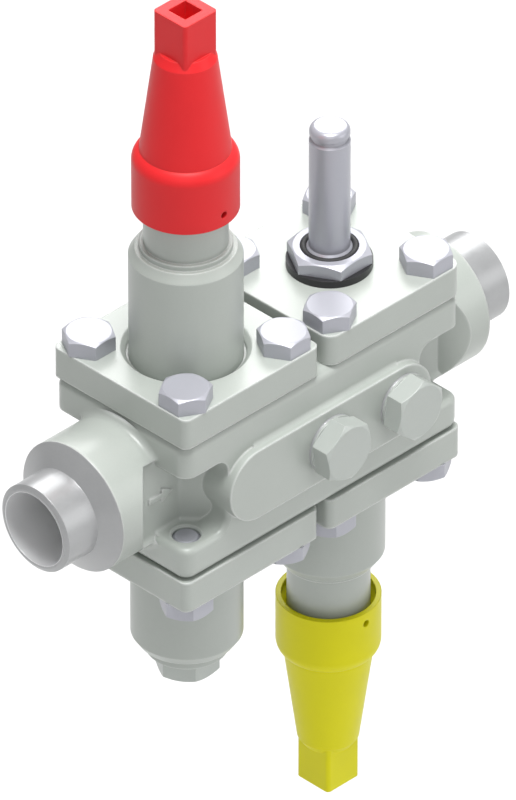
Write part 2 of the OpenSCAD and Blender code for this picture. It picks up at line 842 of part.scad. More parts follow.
module red_cap() { color(red) at_module(-1, 1) cap_form(); }
module red_cap_gasket() { color(dark) at_module(-1, 1) cap_gasket_form(); }
module yellow_cap() { color(yellow) at_module(1, -1) cap_form(); }
module yellow_cap_gasket() { color(dark) at_module(1, -1) cap_gasket_form(); }

// Plugs

plug_flat = 0.4;

// A hexagon plug whose washer stands on z = 0 and whose thread runs down from there
module plug_form(collar, turn) {
    translate([0, 0, plug_washer]) {
        if (collar > 0) cylinder(d = plug_collar_d, h = collar);
        translate([0, 0, collar]) hex_head(plug_af, plug_hex_height, plug_af - plug_flat, turn);
    }
    translate([0, 0, -plug_thread_length])
        cylinder(r = thread_r, h = plug_thread_length + plug_washer + clip);
}

module washer_form() {
    ring(thread_r + washer_wall, thread_r + fit, 0, plug_washer);
}

// Stands a piece on the boss at a side port
module at_port(x) {
    from_inlet() translate([x, -boss_face, 0]) rotate([90, 0, 0]) children();
}

module middle_plug() { color(zinc) at_port(0) plug_form(plug_collar_height, 98); }
module right_plug() { color(zinc) at_port(column) plug_form(plug_collar_height, 80); }
module middle_plug_washer() { color(steel) at_port(0) washer_form(); }
module right_plug_washer() { color(steel) at_port(column) washer_form(); }

// Filter module

drain_face = cup_end + drain_boss_height;
cup_floor = cup_end - 8;

module cup_form() {
    chamfer = 3.4;
    wall = 2.6;
    difference() {
        union() {
            ring(collar_r, 0, seat_face, seat_face + collar_thick);
            ring(cup_d / 2, 0, seat_face, cup_end - chamfer);
            translate([0, 0, cup_end - chamfer])
                cylinder(r1 = cup_d / 2, r2 = cup_d / 2 - chamfer * 0.65, h = chamfer);
            ring(drain_boss_d / 2, 0, cup_end - clip, drain_face - 0.5);
            translate([0, 0, drain_face - 0.5])
                cylinder(r1 = drain_boss_d / 2, r2 = drain_boss_d / 2 - 0.5, h = 0.5);
        }
        bore(cup_d / 2 - wall, seat_face, cup_floor);
        bore(thread_r + fit, cup_floor, drain_face);
    }
}

// The strainer: a perforated tube with a top ring, closed at its foot
module strainer_form() {
    tube = 14;
    wall = 0.8;
    top = web + gap;
    foot = cup_floor - 0.3;
    hole_r = 2.4;
    rows = 6;
    around = 8;
    pitch = (foot - top - 12) / rows;
    difference() {
        union() {
            ring(seat_ring_r + 2, 0, top, top + 2);
            ring(tube, 0, top, foot);
        }
        bore(tube - wall, top, foot - wall);
        for (row = [0:rows - 1], k = [0:around - 1])
            translate([0, 0, top + 8 + pitch * (row + 0.5)])
                rotate([0, 90, 360 / around * (k + (row % 2) / 2)])
                    translate([0, 0, tube - 2 * wall]) cylinder(r = hole_r, h = 3 * wall, $fn = 24);
    }
}

module filter_cup() { color(casting) at_module(-1, -1) cup_form(); }
module strainer() { color(steel) at_module(-1, -1) strainer_form(); }
module drain_plug() {
    color(zinc) at_module(-1, -1) translate([0, 0, drain_face]) plug_form(0, 0);
}
module drain_washer() {
    color(steel) at_module(-1, -1) translate([0, 0, drain_face]) washer_form();
}

// Solenoid module

piston_height = 13;
piston_cup = 4;
spring_room = 3.9;
roof_thick = 2;
tube_washer_thick = 2.85;
tube_nut_height = 5.2;
seal_step = 1.8;
root_wall = 0.8;
core_length = 14;
armature_play = 3;
armature_pocket = 10;
coil_seal_r = 1.1;
pilot_r = 1.5;
stem_r = 3.5;
piston_seat = lip_top + gap;
piston_top = piston_seat + piston_height;
spring_floor = piston_top - piston_cup;
cylinder_roof = piston_top + piston_lift + spring_room;
foot_pocket = cylinder_roof + roof_thick;
stem_low = piston_top + gap;
nut_low = foot_pocket + foot_thick;
washer_top = flange_face + tube_washer_thick;
tube_nut_top = washer_top + tube_nut_height;
tube_nut_step = tube_nut_top - seal_step;
root_r = tube_r + root_wall;
root_top = tube_nut_step + 2 * coil_seal_r + 3 * fit;
core_face = tube_end - core_length;
armature_top = core_face - armature_lift - armature_play;
spring_pocket = armature_top - armature_pocket;

module solenoid_flange() {
    skirt_low = cylinder_floor;
    color(casting) at_module(1, 1) difference() {
        union() {
            translate([0, 0, seat_face]) linear_extrude(flange_thick)
                rounded_rectangle(flange_width, flange_width, solenoid_corner);
            ring(spigot_r, 0, skirt_low, seat_face + clip);
        }
        bore(cylinder_r, skirt_low, cylinder_roof);
        bore(stem_r + 1, cylinder_roof, foot_pocket);
        bore(nut_shank_r + fit, foot_pocket, flange_face);
        bolt_holes(seat_face, flange_face);
    }
}

module servo_piston() {
    disc_r = seat_r + 3;
    color(brass) at_module(1, 1) difference() {
        union() {
            ring(disc_r, 0, piston_seat, piston_seat + 3);
            ring(piston_d / 2, 0, piston_seat + 3 - clip, piston_top - 1.6);
            ring(stem_r + 1.5, 0, spring_floor - clip, piston_top);
        }
        bore(pilot_r, piston_seat, piston_top);
        ring(piston_d / 2 + 1, piston_d / 2 - 2.4, piston_seat + 6, piston_seat + 8);
        difference() {
            ring(piston_d / 2 - 3, 0, spring_floor, piston_top);
            ring(stem_r + 1.5, 0, spring_floor - 1, piston_top + 1);
        }
        translate([piston_d / 2 - 4.2, 0, 0]) bore(0.6, piston_seat + 3, spring_floor);
    }
}

module piston_ring() {
    color(white_seal) at_module(1, 1)
        ring(piston_d / 2, piston_d / 2 - 2.3, piston_seat + 6.05, piston_seat + 7.95);
}

module piston_spring() {
    wire = 0.8;
    color(steel) at_module(1, 1) translate([0, 0, spring_floor + gap])
        coil_spring(9.5, wire, cylinder_roof - spring_floor - 2 * gap, 4);
}

module solenoid_seat() { color(steel) at_module(1, 1) seat_form(); }

// The armature tube: a foot held by the nut, a thin wall, and a closed top with a groove and a round lip
module armature_tube() {
    lip_r = 2.3;
    groove_low = tube_end - 5.2;
    groove_high = tube_end - 3.4;
    color(steel) at_module(1, 1) difference() {
        union() {
            ring(foot_r, 0, foot_pocket, foot_pocket + foot_thick);
            ring(root_r, 0, foot_pocket, root_top - root_wall);
            translate([0, 0, root_top - root_wall])
                cylinder(r1 = root_r, r2 = tube_r, h = root_wall);
            ring(tube_r, 0, root_top - clip, groove_low - 0.9);
            translate([0, 0, groove_low - 0.9]) cylinder(r1 = tube_r, r2 = tube_r - 0.9, h = 0.9);
            ring(tube_r - 0.9, 0, groove_low - clip, groove_high);
            rotate_extrude() {
                translate([0, groove_high - clip])
                    square([tube_r - lip_r - 0.1, tube_end - groove_high + clip]);
                translate([0, groove_high - clip])
                    square([tube_r - 0.1, tube_end - lip_r - groove_high + clip]);
                intersection() {
                    translate([tube_r - lip_r - 0.1, tube_end - lip_r]) circle(r = lip_r);
                    square([tube_r, tube_end]);
                }
            }
        }
        bore(tube_r - tube_wall, foot_pocket, core_face);
    }
}

module tube_washer() {
    color(steel) at_module(1, 1) ring(tube_washer_d / 2, nut_shank_r + fit, flange_face, washer_top);
}

// The hollow nut that holds the tube's foot down in the flange
module tube_nut() {
    color(zinc) at_module(1, 1) difference() {
        union() {
            translate([0, 0, washer_top])
                hex_head(tube_nut_af, tube_nut_top - washer_top, tube_nut_af - 1, 0);
            ring(nut_shank_r, 0, nut_low, washer_top + clip);
        }
        bore(root_r + fit, nut_low, tube_nut_top);
        bore(root_r + 2 * coil_seal_r + gap, tube_nut_step, tube_nut_top);
    }
}

module coil_seal() {
    color(dark) at_module(1, 1) translate([0, 0, tube_nut_step + coil_seal_r + fit])
        o_ring(root_r + coil_seal_r + fit, coil_seal_r);
}

module armature() {
    color(steel) at_module(1, 1) difference() {
        union() {
            ring(armature_r, 0, foot_pocket + 3, armature_top);
            ring(stem_r, 0, stem_low + 1, foot_pocket + 3 + clip);
            translate([0, 0, stem_low]) cylinder(r1 = stem_r - 0.8, r2 = stem_r, h = 1 + clip);
        }
        bore(armature_r - 1.6, spring_pocket, armature_top);
    }
}

module armature_spring() {
    color(steel) at_module(1, 1) translate([0, 0, spring_pocket + gap])
        coil_spring(3.2, 0.5, core_face - spring_pocket - 2 * gap, 9);
}

housing();
inlet_weld_neck();
outlet_weld_neck();
stop_flange();
stop_bonnet();
stop_gasket();
stop_bolts();
stop_seat();
stop_cone();
stop_cone_seal();
stop_cone_clip();
stop_spindle();
stop_packing();
stop_gland();
red_cap();
red_cap_gasket();
filter_flange();
filter_cup();
filter_gasket();
filter_bolts();
strainer();
drain_plug();
drain_washer();
solenoid_flange();
solenoid_gasket();
solenoid_bolts();
solenoid_seat();
servo_piston();
piston_ring();
piston_spring();
armature_tube();
tube_nut();
tube_washer();
coil_seal();
armature();
armature_spring();
regulator_flange();
regulator_bonnet();
regulator_gasket();
regulator_bolts();
regulator_seat();
regulator_cone();
regulator_cone_seal();
regulator_cone_clip();
regulator_spindle();
regulator_packing();
regulator_gland();
yellow_cap();
yellow_cap_gasket();
middle_plug();
middle_plug_washer();
right_plug();
right_plug_washer();
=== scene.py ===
# %% [markdown]
# A valve station is one heavy housing with four modules bolted to it, two above and two below.
# Its solid pieces are loaded here as a fixed frame, at their real size in metres. This script
# sets up the camera, gives every piece its finish, makes two coil springs, and ends with the
# floor and the light.

# %% Load the fixed frame
import math

import bmesh
import bpy
from mathutils import Matrix, Vector


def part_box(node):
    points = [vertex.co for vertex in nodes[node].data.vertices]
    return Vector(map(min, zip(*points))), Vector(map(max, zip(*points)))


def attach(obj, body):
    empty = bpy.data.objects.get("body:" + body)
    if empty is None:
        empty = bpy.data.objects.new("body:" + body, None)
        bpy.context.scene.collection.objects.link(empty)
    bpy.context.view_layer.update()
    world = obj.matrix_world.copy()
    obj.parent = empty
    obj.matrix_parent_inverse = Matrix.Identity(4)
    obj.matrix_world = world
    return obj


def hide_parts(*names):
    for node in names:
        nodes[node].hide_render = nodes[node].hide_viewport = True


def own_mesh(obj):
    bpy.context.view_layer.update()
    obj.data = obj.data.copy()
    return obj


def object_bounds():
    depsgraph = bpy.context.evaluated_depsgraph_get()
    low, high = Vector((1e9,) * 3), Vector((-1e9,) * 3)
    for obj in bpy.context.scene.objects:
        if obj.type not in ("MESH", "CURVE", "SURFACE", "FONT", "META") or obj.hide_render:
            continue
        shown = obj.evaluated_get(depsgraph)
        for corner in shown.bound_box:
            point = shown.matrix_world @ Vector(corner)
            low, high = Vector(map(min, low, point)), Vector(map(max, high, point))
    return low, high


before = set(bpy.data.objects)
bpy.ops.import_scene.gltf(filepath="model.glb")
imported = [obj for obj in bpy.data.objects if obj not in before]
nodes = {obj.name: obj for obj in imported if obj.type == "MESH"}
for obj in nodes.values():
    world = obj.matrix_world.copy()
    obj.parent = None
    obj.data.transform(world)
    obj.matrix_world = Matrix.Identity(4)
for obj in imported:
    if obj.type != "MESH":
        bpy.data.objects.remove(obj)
cad_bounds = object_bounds()

# %% [markdown]
# Most places follow from a few of the station's own lengths. They are read off the pieces' boxes,
# so that nothing has to be measured twice: the middle of the housing and the upright axes of the
# two columns of modules.

# %% Places on the station
MM = 0.001


def middle(name):
    low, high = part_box(name)
    return (Vector(low) + Vector(high)) / 2


station_low, station_high = Vector(cad_bounds[0]), Vector(cad_bounds[1])
centre = Vector(((station_low.x + station_high.x) / 2, 0, 0))
stop_axis = middle("stop_bonnet")
solenoid_axis = middle("armature_tube")
print("housing centre at", tuple(round(v, 4) for v in centre))
print("module axes at x =", round(stop_axis.x, 4), "and", round(solenoid_axis.x, 4))

# %% [markdown]
# The photograph is drawn in isometric view: all three axes are equally foreshortened and parallel
# lines stay parallel. A very long lens far away does the same in Blender, and unlike an
# orthographic camera it also works when the view is turned. The camera looks along the
# diagonal of a cube, and its distance makes one millimetre as large as in the photograph.

# %% Camera
PHOTO_HEIGHT = 800
PIXELS_PER_MM = 2.835
LENS = 800
SENSOR = 36
view_height = PHOTO_HEIGHT / PIXELS_PER_MM * MM
distance = view_height * LENS / SENSOR

camera_data = bpy.data.cameras.new("camera")
camera_data.lens = LENS
camera_data.sensor_width = SENSOR
camera_data.clip_end = 4 * distance
camera = bpy.data.objects.new("camera", camera_data)
bpy.context.collection.objects.link(camera)
towards = Vector((-1, -1, 1)).normalized()
camera.location = centre + towards * distance
camera.rotation_euler = (-towards).to_track_quat("-Z", "Y").to_euler()
bpy.context.scene.camera = camera
print("camera", round(distance, 3), "m away")

# %% [markdown]
# Surfaces are finished with node groups, which are small machines that several materials share.
# Each one has named inputs and outputs. These helpers place a node, join two sockets, do one sum
# and open a new group, so that the groups below stay short enough to read.
#
# A Mix node has its sockets once for numbers, once for vectors and once for colours, all under
# the same names. So its colour sockets are picked by their place in the list.

# %% Helpers for node trees
FLOAT, COLOUR, VECTOR = "NodeSocketFloat", "NodeSocketColor", "NodeSocketVector"
MIX_FACTOR, MIX_UNDER, MIX_OVER, MIX_RESULT = 0, 6, 7, 2


def place(tree, kind, **settings):
    node = tree.nodes.new(kind)
    for key, value in settings.items():
        setattr(node, key, value)
    return node


def join(tree, source, output, target, socket):
    tree.links.new(source.outputs[output], target.inputs[socket])


def new_group(name, inputs, outputs):
    tree = bpy.data.node_groups.new(name, "ShaderNodeTree")
    for label, kind, default in inputs:
        socket = tree.interface.new_socket(label, in_out="INPUT", socket_type=kind)
        if default is not None:
            socket.default_value = default
    for label, kind in outputs:
        tree.interface.new_socket(label, in_out="OUTPUT", socket_type=kind)
    return tree, place(tree, "NodeGroupInput"), place(tree, "NodeGroupOutput")


def maths(tree, operation, first, second=None):
    node = place(tree, "ShaderNodeMath", operation=operation)
    for index, value in enumerate((first, second)):
        if value is None:
            continue
        if isinstance(value, (int, float)):
            node.inputs[index].default_value = value
        else:
            tree.links.new(value, node.inputs[index])
    return node.outputs[0]


print("helpers: place, join, new_group and maths")

# %% [markdown]
# Metal and paint are never one even colour. The grain group mixes a cloudy noise, as from casting
# and handling, with a fine one, and puts out a shade of the colour, a roughness and a height
# for bump. Everything is read from Object coordinates, so it stays on the piece when it moves.

# %% Group: grain
CLOUD_DETAIL = 4
FINE_DETAIL = 3
FINE_SHARE = 0.5
NOISE_MIDDLE = 0.5
SHADE_GAIN = 2


def build_grain():
    tree, source, result = new_group(
        "grain",
        [("Colour", COLOUR, (0.6, 0.6, 0.6, 1)), ("Roughness", FLOAT, 0.4),
         ("Cloud scale", FLOAT, 60), ("Fine scale", FLOAT, 900),
         ("Colour change", FLOAT, 0.06), ("Roughness change", FLOAT, 0.1)],
        [("Colour", COLOUR), ("Roughness", FLOAT), ("Height", FLOAT)])
    where = place(tree, "ShaderNodeTexCoord")
    cloud = place(tree, "ShaderNodeTexNoise", noise_dimensions="3D")
    cloud.inputs["Detail"].default_value = CLOUD_DETAIL
    fine = place(tree, "ShaderNodeTexNoise", noise_dimensions="3D")
    fine.inputs["Detail"].default_value = FINE_DETAIL
    for noise, scale in ((cloud, "Cloud scale"), (fine, "Fine scale")):
        join(tree, where, "Object", noise, "Vector")
        join(tree, source, scale, noise, "Scale")
    swing = maths(tree, "SUBTRACT", cloud.outputs["Fac"], NOISE_MIDDLE)
    fine_swing = maths(tree, "SUBTRACT", fine.outputs["Fac"], NOISE_MIDDLE)
    both = maths(tree, "ADD", swing, maths(tree, "MULTIPLY", fine_swing, FINE_SHARE))
    shade = maths(tree, "MULTIPLY", both, source.outputs["Colour change"])
    bright = maths(tree, "ADD", maths(tree, "MULTIPLY", shade, SHADE_GAIN), 1)
    tint = place(tree, "ShaderNodeVectorMath", operation="SCALE")
    join(tree, source, "Colour", tint, 0)
    tree.links.new(bright, tint.inputs["Scale"])
    tree.links.new(tint.outputs[0], result.inputs["Colour"])
    rough_swing = maths(tree, "MULTIPLY", both, source.outputs["Roughness change"])
    rough = maths(tree, "ADD", rough_swing, source.outputs["Roughness"])
    tree.links.new(rough, result.inputs["Roughness"])
    tree.links.new(fine.outputs["Fac"], result.inputs["Height"])
    return tree


grain = build_grain()
print("group", grain.name, "with", len(grain.nodes), "nodes")

# %% [markdown]
# Handled edges lose their finish first. On the castings and bonnets the lighter edge is also a
# painted highlight, in place of the light that a rounded edge catches. Blender's Bevel node gives
# the normal that a rounded edge would have. Where it differs from the true normal there is an
# edge, and a noise breaks the edge up so that the wear and the painted highlight aren't a drawn
# line. The same rounded normal also softens the highlight.

# %% Group: edge wear and painted highlight
BEVEL_SAMPLES = 6
EDGE_GAIN = 5
PATCH_SCALE = 220
PATCH_DETAIL = 4


def build_edge_wear_and_highlight():
    tree, source, result = new_group(
        "edge_wear_and_highlight",
        [("Radius", FLOAT, 0.0006), ("Patchiness", FLOAT, 0.5), ("Strength", FLOAT, 1.0)],
        [("Wear and highlight", FLOAT), ("Normal", VECTOR)])
    bevel = place(tree, "ShaderNodeBevel", samples=BEVEL_SAMPLES)
    join(tree, source, "Radius", bevel, "Radius")
    flat = place(tree, "ShaderNodeNewGeometry")
    dot = place(tree, "ShaderNodeVectorMath", operation="DOT_PRODUCT")
    join(tree, bevel, "Normal", dot, 0)
    join(tree, flat, "Normal", dot, 1)
    turned = maths(tree, "SUBTRACT", 1, dot.outputs["Value"])
    edge = maths(tree, "MINIMUM", maths(tree, "MULTIPLY", turned, EDGE_GAIN), 1)
    where = place(tree, "ShaderNodeTexCoord")
    noise = place(tree, "ShaderNodeTexNoise")
    noise.inputs["Scale"].default_value = PATCH_SCALE
    noise.inputs["Detail"].default_value = PATCH_DETAIL
    join(tree, where, "Object", noise, "Vector")
    patches = maths(tree, "SUBTRACT", 1, maths(tree, "MULTIPLY", noise.outputs["Fac"],
                                               source.outputs["Patchiness"]))
    wear_and_highlight = maths(tree, "MULTIPLY", maths(tree, "MULTIPLY", edge, patches),
                 source.outputs["Strength"])
    tree.links.new(wear_and_highlight, result.inputs["Wear and highlight"])
    join(tree, bevel, "Normal", result, "Normal")
    return tree


edge_wear_and_highlight = build_edge_wear_and_highlight()
print("group", edge_wear_and_highlight.name, "with", len(edge_wear_and_highlight.nodes), "nodes")

# %% [markdown]
# A turned surface carries the fine spiral of the lathe tool: rings round the axis on its end
# faces and lines round its walls. The group measures the distance from the axis and the
# place along it, and gives both to one noise. Stretching that noise hard makes the rings. The
# distance is put out too, because a bore's wall can be told by it from the outside.

# %% Group: turned rings
RING_DETAIL = 2


def build_turned_rings():
    tree, source, result = new_group(
        "turned_rings",
        [("Place", VECTOR, None), ("Fineness", FLOAT, 2600)],
        [("Height", FLOAT), ("Radius", FLOAT)])
    split = place(tree, "ShaderNodeSeparateXYZ")
    join(tree, source, "Place", split, 0)
    squares = [maths(tree, "MULTIPLY", split.outputs[i], split.outputs[i]) for i in (0, 1)]
    radius = maths(tree, "SQRT", maths(tree, "ADD", *squares))
    rings = place(tree, "ShaderNodeCombineXYZ")
    tree.links.new(maths(tree, "MULTIPLY", radius, source.outputs["Fineness"]), rings.inputs[0])
    tree.links.new(maths(tree, "MULTIPLY", split.outputs[2], source.outputs["Fineness"]),
                   rings.inputs[1])
    noise = place(tree, "ShaderNodeTexNoise", noise_dimensions="2D")
    noise.inputs["Scale"].default_value = 1
    noise.inputs["Detail"].default_value = RING_DETAIL
    tree.links.new(rings.outputs[0], noise.inputs["Vector"])
    tree.links.new(noise.outputs["Fac"], result.inputs["Height"])
    tree.links.new(radius, result.inputs["Radius"])
    return tree


turned_rings = build_turned_rings()
print("group", turned_rings.name, "with", len(turned_rings.nodes), "nodes")

# %% [markdown]
# The group draws its rings round its own Z axis. A Mapping node lays that axis where the lathe's
# centre line was on the real piece: through a point, along X, Y or Z. A Bump node then turns the
# height into relief, over the relief that the piece already has.

# %% Function: lathe rings on a piece
RING_DEPTH = 0.05 * MM


def add_rings(tree, relief, turned, strength, fineness):
    axis, point = turned
    where = place(tree, "ShaderNodeTexCoord")
    shift = place(tree, "ShaderNodeMapping", vector_type="TEXTURE")
    shift.inputs["Location"].default_value = point
    if axis == "X":
        shift.inputs["Rotation"].default_value = (0, math.radians(90), 0)
    if axis == "Y":
        shift.inputs["Rotation"].default_value = (math.radians(90), 0, 0)
    join(tree, where, "Object", shift, "Vector")
    rings = place(tree, "ShaderNodeGroup", node_tree=turned_rings)
    rings.inputs["Fineness"].default_value = fineness
    join(tree, shift, "Vector", rings, "Place")
    lathe = place(tree, "ShaderNodeBump")
    lathe.inputs["Strength"].default_value = strength
    lathe.inputs["Distance"].default_value = RING_DEPTH
    join(tree, rings, "Height", lathe, "Height")
    join(tree, relief, "Normal", lathe, "Normal")
    return lathe, rings


print("rings stand out by up to", round(RING_DEPTH / MM, 3), "mm")

# %% [markdown]
# The inside of a pipe lies in shade. Its wall gets a brighter colour, painted light that lifts
# that shade. It is the same piece with the same material, so the colour has to tell the two
# apart: all that lies nearer to the axis than a limit is inside.

# %% Function: painted light in a bore


def paint_light_in_bore(tree, shader, rings, limit, colour):
    inside = maths(tree, "LESS_THAN", rings.outputs["Radius"], limit)
    base = shader.inputs["Base Color"].links[0].from_socket
    mix = place(tree, "ShaderNodeMix", data_type="RGBA")
    tree.links.new(inside, mix.inputs[MIX_FACTOR])
    tree.links.new(base, mix.inputs[MIX_UNDER])
    mix.inputs[MIX_OVER].default_value = (*colour, 1)
    tree.links.new(mix.outputs[MIX_RESULT], shader.inputs["Base Color"])


print("a bore's colour is mixed in where the radius is under a limit")

# %% [markdown]
# Every finish is then one function: a Principled shader, fed by the groups. Numbers that are the
# same all over, such as the coat or the metal value, are set on the shader itself. A second
# function puts the finish on pieces, by giving it to their material slots.

# %% Function: a finish
GRAIN_DEPTH = 0.1 * MM


def finish(name, colour, rough, metallic=0.0, wear_and_highlight=None, wear_and_highlight_strength=1.0, edge=0.6,
           cloud=60, fine=900, colour_change=0.06, rough_change=0.1, bump=0.15,
           coat=0.0, coat_rough=0.2, turned=None, turned_bump=0.1, fineness=2600, specular=0.5,
           bore=None):
    material = bpy.data.materials.new(name)
    material.use_nodes = True
    material.diffuse_color = (*colour, 1)
    tree = material.node_tree
    tree.nodes.clear()
    output = place(tree, "ShaderNodeOutputMaterial")
    shader = place(tree, "ShaderNodeBsdfPrincipled")
    join(tree, shader, "BSDF", output, "Surface")
    shader.inputs["Metallic"].default_value = metallic
    shader.inputs["Coat Weight"].default_value = coat
    shader.inputs["Coat Roughness"].default_value = coat_rough
    shader.inputs["Specular IOR Level"].default_value = specular

    surface = place(tree, "ShaderNodeGroup", node_tree=grain)
    surface.inputs["Colour"].default_value = (*colour, 1)
    surface.inputs["Roughness"].default_value = rough
    surface.inputs["Cloud scale"].default_value = cloud
    surface.inputs["Fine scale"].default_value = fine
    surface.inputs["Colour change"].default_value = colour_change
    surface.inputs["Roughness change"].default_value = rough_change

    wear_and_highlight_node = place(tree, "ShaderNodeGroup", node_tree=edge_wear_and_highlight)
    wear_and_highlight_node.inputs["Radius"].default_value = edge * MM
    wear_and_highlight_node.inputs["Strength"].default_value = wear_and_highlight_strength if wear_and_highlight else 0.0
    # The lighter edge colour is wear, and on castings and bonnets also a painted highlight.
    if wear_and_highlight:
        mix = place(tree, "ShaderNodeMix", data_type="RGBA")
        mix.inputs[MIX_OVER].default_value = (*wear_and_highlight, 1)
        join(tree, wear_and_highlight_node, "Wear and highlight", mix, MIX_FACTOR)
        join(tree, surface, "Colour", mix, MIX_UNDER)
        tree.links.new(mix.outputs[MIX_RESULT], shader.inputs["Base Color"])
    else:
        join(tree, surface, "Colour", shader, "Base Color")
    join(tree, surface, "Roughness", shader, "Roughness")

    relief = place(tree, "ShaderNodeBump")
    relief.inputs["Strength"].default_value = bump
    relief.inputs["Distance"].default_value = GRAIN_DEPTH
    join(tree, surface, "Height", relief, "Height")
    join(tree, wear_and_highlight_node, "Normal", relief, "Normal")
    last = relief
    if turned is not None:
        last, rings = add_rings(tree, relief, turned, turned_bump, fineness)
        if bore is not None:
            paint_light_in_bore(tree, shader, rings, *bore)
    join(tree, last, "Normal", shader, "Normal")
    return material


def dress(material, *names):
    for name in names:
        for slot in nodes[name].material_slots:
            slot.material = material


print("grain stands out by up to", round(GRAIN_DEPTH / MM, 3), "mm")

# %% [markdown]
# The housing and the flanges are castings with a pale greenish grey finish, satin and very
# slightly rough, as fine sand casting is under a thin coat. On their edges a lighter tone shows:
# partly wear, and partly a painted highlight where the rounded edges would catch the light.

# %% Housing and flanges
GREY_GREEN = (0.40, 0.43, 0.40)
# Lighter edge colour: partly wear, partly a painted highlight on the rounded edges.
GREY_GREEN_WEAR_AND_HIGHLIGHT = (0.84, 0.86, 0.84)
casting = finish("casting", GREY_GREEN, 0.38, wear_and_highlight=GREY_GREEN_WEAR_AND_HIGHLIGHT, edge=1.5, cloud=45,
                 fine=1400, colour_change=0.05, rough_change=0.14, bump=0.25, coat=0.3,
                 coat_rough=0.22)
dress(casting, "housing", "stop_flange", "filter_flange", "solenoid_flange", "regulator_flange")
print("dressed the castings")

# %% [markdown]
# The bonnets and the filter cup have the same colour, but they are turned on a lathe, so they
# show faint rings round their own axis. Each column of modules has its own axis to turn about.
# Their lighter edges are the same mix of wear and painted highlight as on the castings.

# %% Turned bonnets
left_column = ("Z", (stop_axis.x, 0, 0))
right_column = ("Z", (solenoid_axis.x, 0, 0))
along_pipe = ("X", (0, 0, 0))
for label, column, names in (("left", left_column, ("stop_bonnet", "filter_cup")),
                             ("right", right_column, ("regulator_bonnet",))):
    turned_grey = finish("turned_grey_" + label, GREY_GREEN, 0.38, wear_and_highlight=GREY_GREEN_WEAR_AND_HIGHLIGHT,
                         wear_and_highlight_strength=0.8, edge=1.0, bump=0.12, colour_change=0.04, coat=0.15,
                         coat_rough=0.3, turned=column, turned_bump=0.35, fineness=2200)
    dress(turned_grey, *names)
print("dressed the bonnets and the cup")

# %% [markdown]
# The weld necks are bare machined steel: neutral, and turned about the pipe's axis. The wall of
# the bore is given a much brighter colour than the outside: painted light that lifts the shade
# inside the bore. The limit is a little more than the bore's own radius, so that it takes in the
# wall and nothing else.

# %% Weld necks
BORE_LIMIT = 14.4 * MM
# Painted light: a near-white bore wall that lifts the shade inside the bore.
BORE_PAINTED_LIGHT = (0.92, 0.92, 0.93)
pipe_steel = finish("pipe_steel", (0.39, 0.395, 0.4), 0.34, metallic=0.4,
                    wear_and_highlight=(0.76, 0.76, 0.76), wear_and_highlight_strength=0.4, edge=0.3, cloud=90,
                    colour_change=0.07, rough_change=0.2, bump=0.08, turned=along_pipe,
                    turned_bump=0.5, fineness=2400, bore=(BORE_LIMIT, BORE_PAINTED_LIGHT))
dress(pipe_steel, "inlet_weld_neck", "outlet_weld_neck")
print("dressed the weld necks")

# %% [markdown]
# The two side plugs and the drain plug are turned from bar and carry the same pale coat as the
# housing. Their rings run round the plug's own axis: out of the front face for the side plugs,
# downwards for the drain plug. So each plug needs its own finish.

# %% Plugs
for name, axis in (("middle_plug", "Y"), ("right_plug", "Y"), ("drain_plug", "Z")):
    coated_plug = finish("coated_" + name, (0.43, 0.46, 0.435), 0.36, metallic=0.1,
                         wear_and_highlight=(0.66, 0.68, 0.66), wear_and_highlight_strength=0.6, edge=0.4, cloud=80,
                         colour_change=0.05, rough_change=0.15, bump=0.1,
                         turned=(axis, tuple(middle(name))), turned_bump=0.3, fineness=2000)
    dress(coated_plug, name)
print("dressed the plugs")

# %% [markdown]
# Bolts and nuts are plated steel. Plating is thin and takes a slightly bluish, cloudy
# shine, and the wrench wears the corners of the hexagons first.

# %% Plated fasteners
PLATE = (0.42, 0.425, 0.47)
plated = finish("plated", PLATE, 0.42, metallic=0.3, wear_and_highlight=(0.70, 0.70, 0.74),
                wear_and_highlight_strength=0.5, edge=0.35, cloud=100, colour_change=0.04, rough_change=0.12,
                bump=0.06)
dress(plated, "stop_bolts", "filter_bolts", "solenoid_bolts", "regulator_bolts", "tube_nut",
      "stop_gland", "regulator_gland")
print("dressed the fasteners")

# %% [markdown]
# The armature tube is drawn stainless steel, darker and smoother than the plated nut below it.
# The armature that slides in it and the wire clips of the two cones are stainless too.

# %% Stainless steel
stainless = finish("stainless", (0.40, 0.405, 0.45), 0.32, metallic=0.35,
                   wear_and_highlight=(0.6, 0.6, 0.63), wear_and_highlight_strength=0.3, edge=0.25, cloud=140,
                   colour_change=0.025, rough_change=0.08, bump=0.04, turned=right_column,
                   turned_bump=0.15, fineness=3200)
dress(stainless, "armature_tube", "armature", "stop_cone_clip", "regulator_cone_clip")
print("dressed the stainless steel")

# %% [markdown]
# Seats, cones, spindles and the strainer work inside, where no paint or plating would last. They
# are bright bare steel, turned about the axis of their own column, with very faint rings.

# %% Steel inside
for label, column, names in (
        ("left", left_column, ("stop_seat", "stop_cone", "stop_spindle", "strainer",
                               "drain_washer")),
        ("right", right_column, ("regulator_seat", "regulator_cone", "regulator_spindle",
                                 "solenoid_seat", "middle_plug_washer",
                                 "right_plug_washer"))):
    inner_steel = finish("inner_steel_" + label, (0.55, 0.55, 0.57), 0.34, metallic=0.6,
                         edge=0.25, cloud=110, colour_change=0.05, rough_change=0.12, bump=0.05,
                         turned=column, turned_bump=0.1)
    dress(inner_steel, *names)
print("dressed the steel inside")

# %% [markdown]
# Two coil springs press the servo piston and the armature down. A rigid solid can't grow shorter,
# so each spring gets a piece of its own. A small circle is spun round the axis and climbs at each
# step, which makes a helix, and its two ends are closed.

# %% Coil springs
STEPS_PER_TURN = 40
WIRE_SIDES = 12


